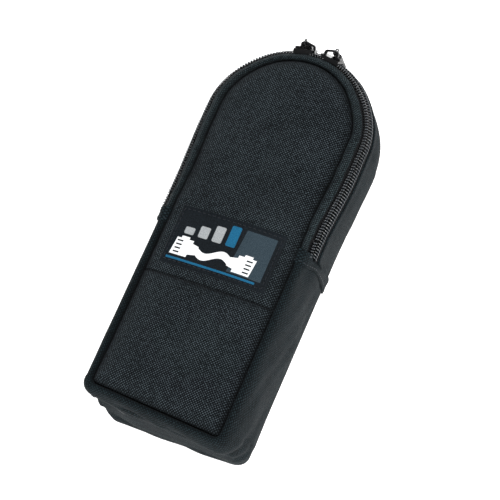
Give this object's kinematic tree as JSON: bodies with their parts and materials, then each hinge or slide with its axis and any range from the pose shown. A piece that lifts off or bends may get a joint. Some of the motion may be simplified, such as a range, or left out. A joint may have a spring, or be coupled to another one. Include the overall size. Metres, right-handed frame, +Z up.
{
  "type": "zipped pouch for a network cable tester",
  "caption": "Padded, black woven pouch with an arched top that zips open over its front half, holding a handheld network cable tester with its docked remote unit.",
  "frame": {"origin": "the middle of the side that rests on the table, the back of the pouch, at the middle of the overall length and width", "axes": "+Z is up, out of the front with the label; +Y runs along the length towards the arched, zipped top; +X is to the right, seen from the front"},
  "size_m": [0.0948, 0.2305, 0.0547],
  "materials": {
    "pouch_fabric": "black woven polyester",
    "pouch_lining": "smooth black lining cloth",
    "foam": "closed-cell foam padding",
    "binding": "black ribbed tape",
    "zipper_tape": "black woven zipper tape",
    "zipper_coil": "black nylon coil",
    "slider_metal": "black lacquered zinc",
    "label_cloth": "black woven patch with a white, grey and blue pictogram",
    "case_plastic": "fine-grained yellow plastic",
    "case_back_plastic": "fine-grained black plastic",
    "face_film": "printed dark film",
    "display_glass": "clear display window",
    "module_plastic": "grey display module",
    "board": "green circuit board",
    "switch_plastic": "black switch body",
    "jack_plastic": "black jack moulding",
    "plug_plastic": "clear modular plug",
    "button_rubber": "grey moulded rubber",
    "battery_case": "battery in a printed steel jacket",
    "screw_steel": "plated steel"
  },
  "bodies": {
    "root": {"back_panel": "pouch_fabric", "back_foam": "foam", "back_lining": "pouch_lining", "front_foam": "foam", "front_lining": "pouch_lining", "front_lower_panel": "pouch_fabric", "front_middle_panel": "pouch_fabric", "lower_gusset": "pouch_fabric", "lower_gusset_lining": "pouch_lining", "upper_gusset": "pouch_fabric", "gusset_zipper_edge": "pouch_fabric", "upper_gusset_lining": "pouch_lining", "left_hem": "pouch_fabric", "right_hem": "pouch_fabric", "front_strip_ends": "pouch_fabric", "zipper_front_tape_ends": "zipper_tape", "zipper_front_coil_ends": "zipper_coil", "zipper_back_tape": "zipper_tape", "zipper_back_coil": "zipper_coil", "back_seam_binding": "binding", "front_seam_binding": "binding", "label_patch": "label_cloth"},
    "flap": {"flap_panel": "pouch_fabric", "flap_foam": "foam", "flap_lining": "pouch_lining", "flap_strip": "pouch_fabric", "zipper_front_tape": "zipper_tape", "zipper_front_coil": "zipper_coil", "flap_seam_binding": "binding"},
    "left_slider": {"left_slider_body": "slider_metal", "left_slider_crown": "slider_metal"},
    "right_slider": {"right_slider_body": "slider_metal", "right_slider_crown": "slider_metal"},
    "left_pull": {"left_pull_ring": "slider_metal", "left_pull_tab": "slider_metal"},
    "right_pull": {"right_pull_ring": "slider_metal", "right_pull_tab": "slider_metal"},
    "tester": {"tester_front_case": "case_plastic", "tester_back_case": "case_back_plastic", "tester_face": "face_film", "tester_display": "display_glass", "tester_display_module": "module_plastic", "tester_circuit_board": "board", "tester_key_switches": "switch_plastic", "tester_jack": "jack_plastic", "battery": "battery_case", "battery_door": "case_back_plastic", "tester_screws": "screw_steel"},
    "power_button": {"power_button": "button_rubber"},
    "test_button": {"test_button": "button_rubber"},
    "tone_button": {"tone_button": "button_rubber"},
    "remote": {"remote_front_case": "case_plastic", "remote_back_case": "case_back_plastic", "remote_plug": "plug_plastic", "remote_jack": "jack_plastic", "remote_circuit_board": "board"}
  },
  "joints": [
    {"name": "flap_hinge", "type": "hinge", "parent": "root", "child": "flap", "pos_m": [0, 0.005, 0.054], "axis": [1, 0, 0], "range_deg": [0, 150], "deforming": ["zipper_front_tape", "zipper_front_coil", "zipper_back_tape", "zipper_back_coil", "gusset_zipper_edge"]},
    {"name": "left_slider_travel", "type": "hinge", "parent": "root", "child": "left_slider", "pos_m": [0.02293, 0.04057, 0.0469], "axis": [0, 0, 1], "range_deg": [0, 87.01]},
    {"name": "left_pull_swing", "type": "hinge", "parent": "left_slider", "child": "left_pull", "pos_m": [-0.00767, 0.11205, 0.0505], "axis": [0.9903, 0.1392, 0], "range_deg": [0, 240]},
    {"name": "right_slider_travel", "type": "hinge", "parent": "root", "child": "right_slider", "pos_m": [-0.0246, 0.04057, 0.0469], "axis": [0, 0, -1], "range_deg": [0, 83.01]},
    {"name": "right_pull_swing", "type": "hinge", "parent": "right_slider", "child": "right_pull", "pos_m": [0.01111, 0.11139, 0.0505], "axis": [0.9781, -0.2079, 0], "range_deg": [0, 240]},
    {"name": "power_press", "type": "slide", "parent": "tester", "child": "power_button", "axis": [0, 0, -1], "range_m": [0, 0.0006], "stiffness_N_per_m": 800},
    {"name": "test_press", "type": "slide", "parent": "tester", "child": "test_button", "axis": [0, 0, -1], "range_m": [0, 0.0006], "stiffness_N_per_m": 800},
    {"name": "tone_press", "type": "slide", "parent": "tester", "child": "tone_button", "axis": [0, 0, -1], "range_m": [0, 0.0006], "stiffness_N_per_m": 800},
    {"name": "tester_slide", "type": "slide", "parent": "root", "child": "tester", "axis": [0, 1, 0], "range_m": [0, 0.003]},
    {"name": "remote_unplug", "type": "slide", "parent": "tester", "child": "remote", "axis": [0, 1, 0], "range_m": [0, 0.0095]}
  ],
  "couplings": [
    {"joint": "left_slider_travel", "follows": "flap_hinge", "ratio": 0.58},
    {"joint": "right_slider_travel", "follows": "flap_hinge", "ratio": 0.55333}
  ]
}
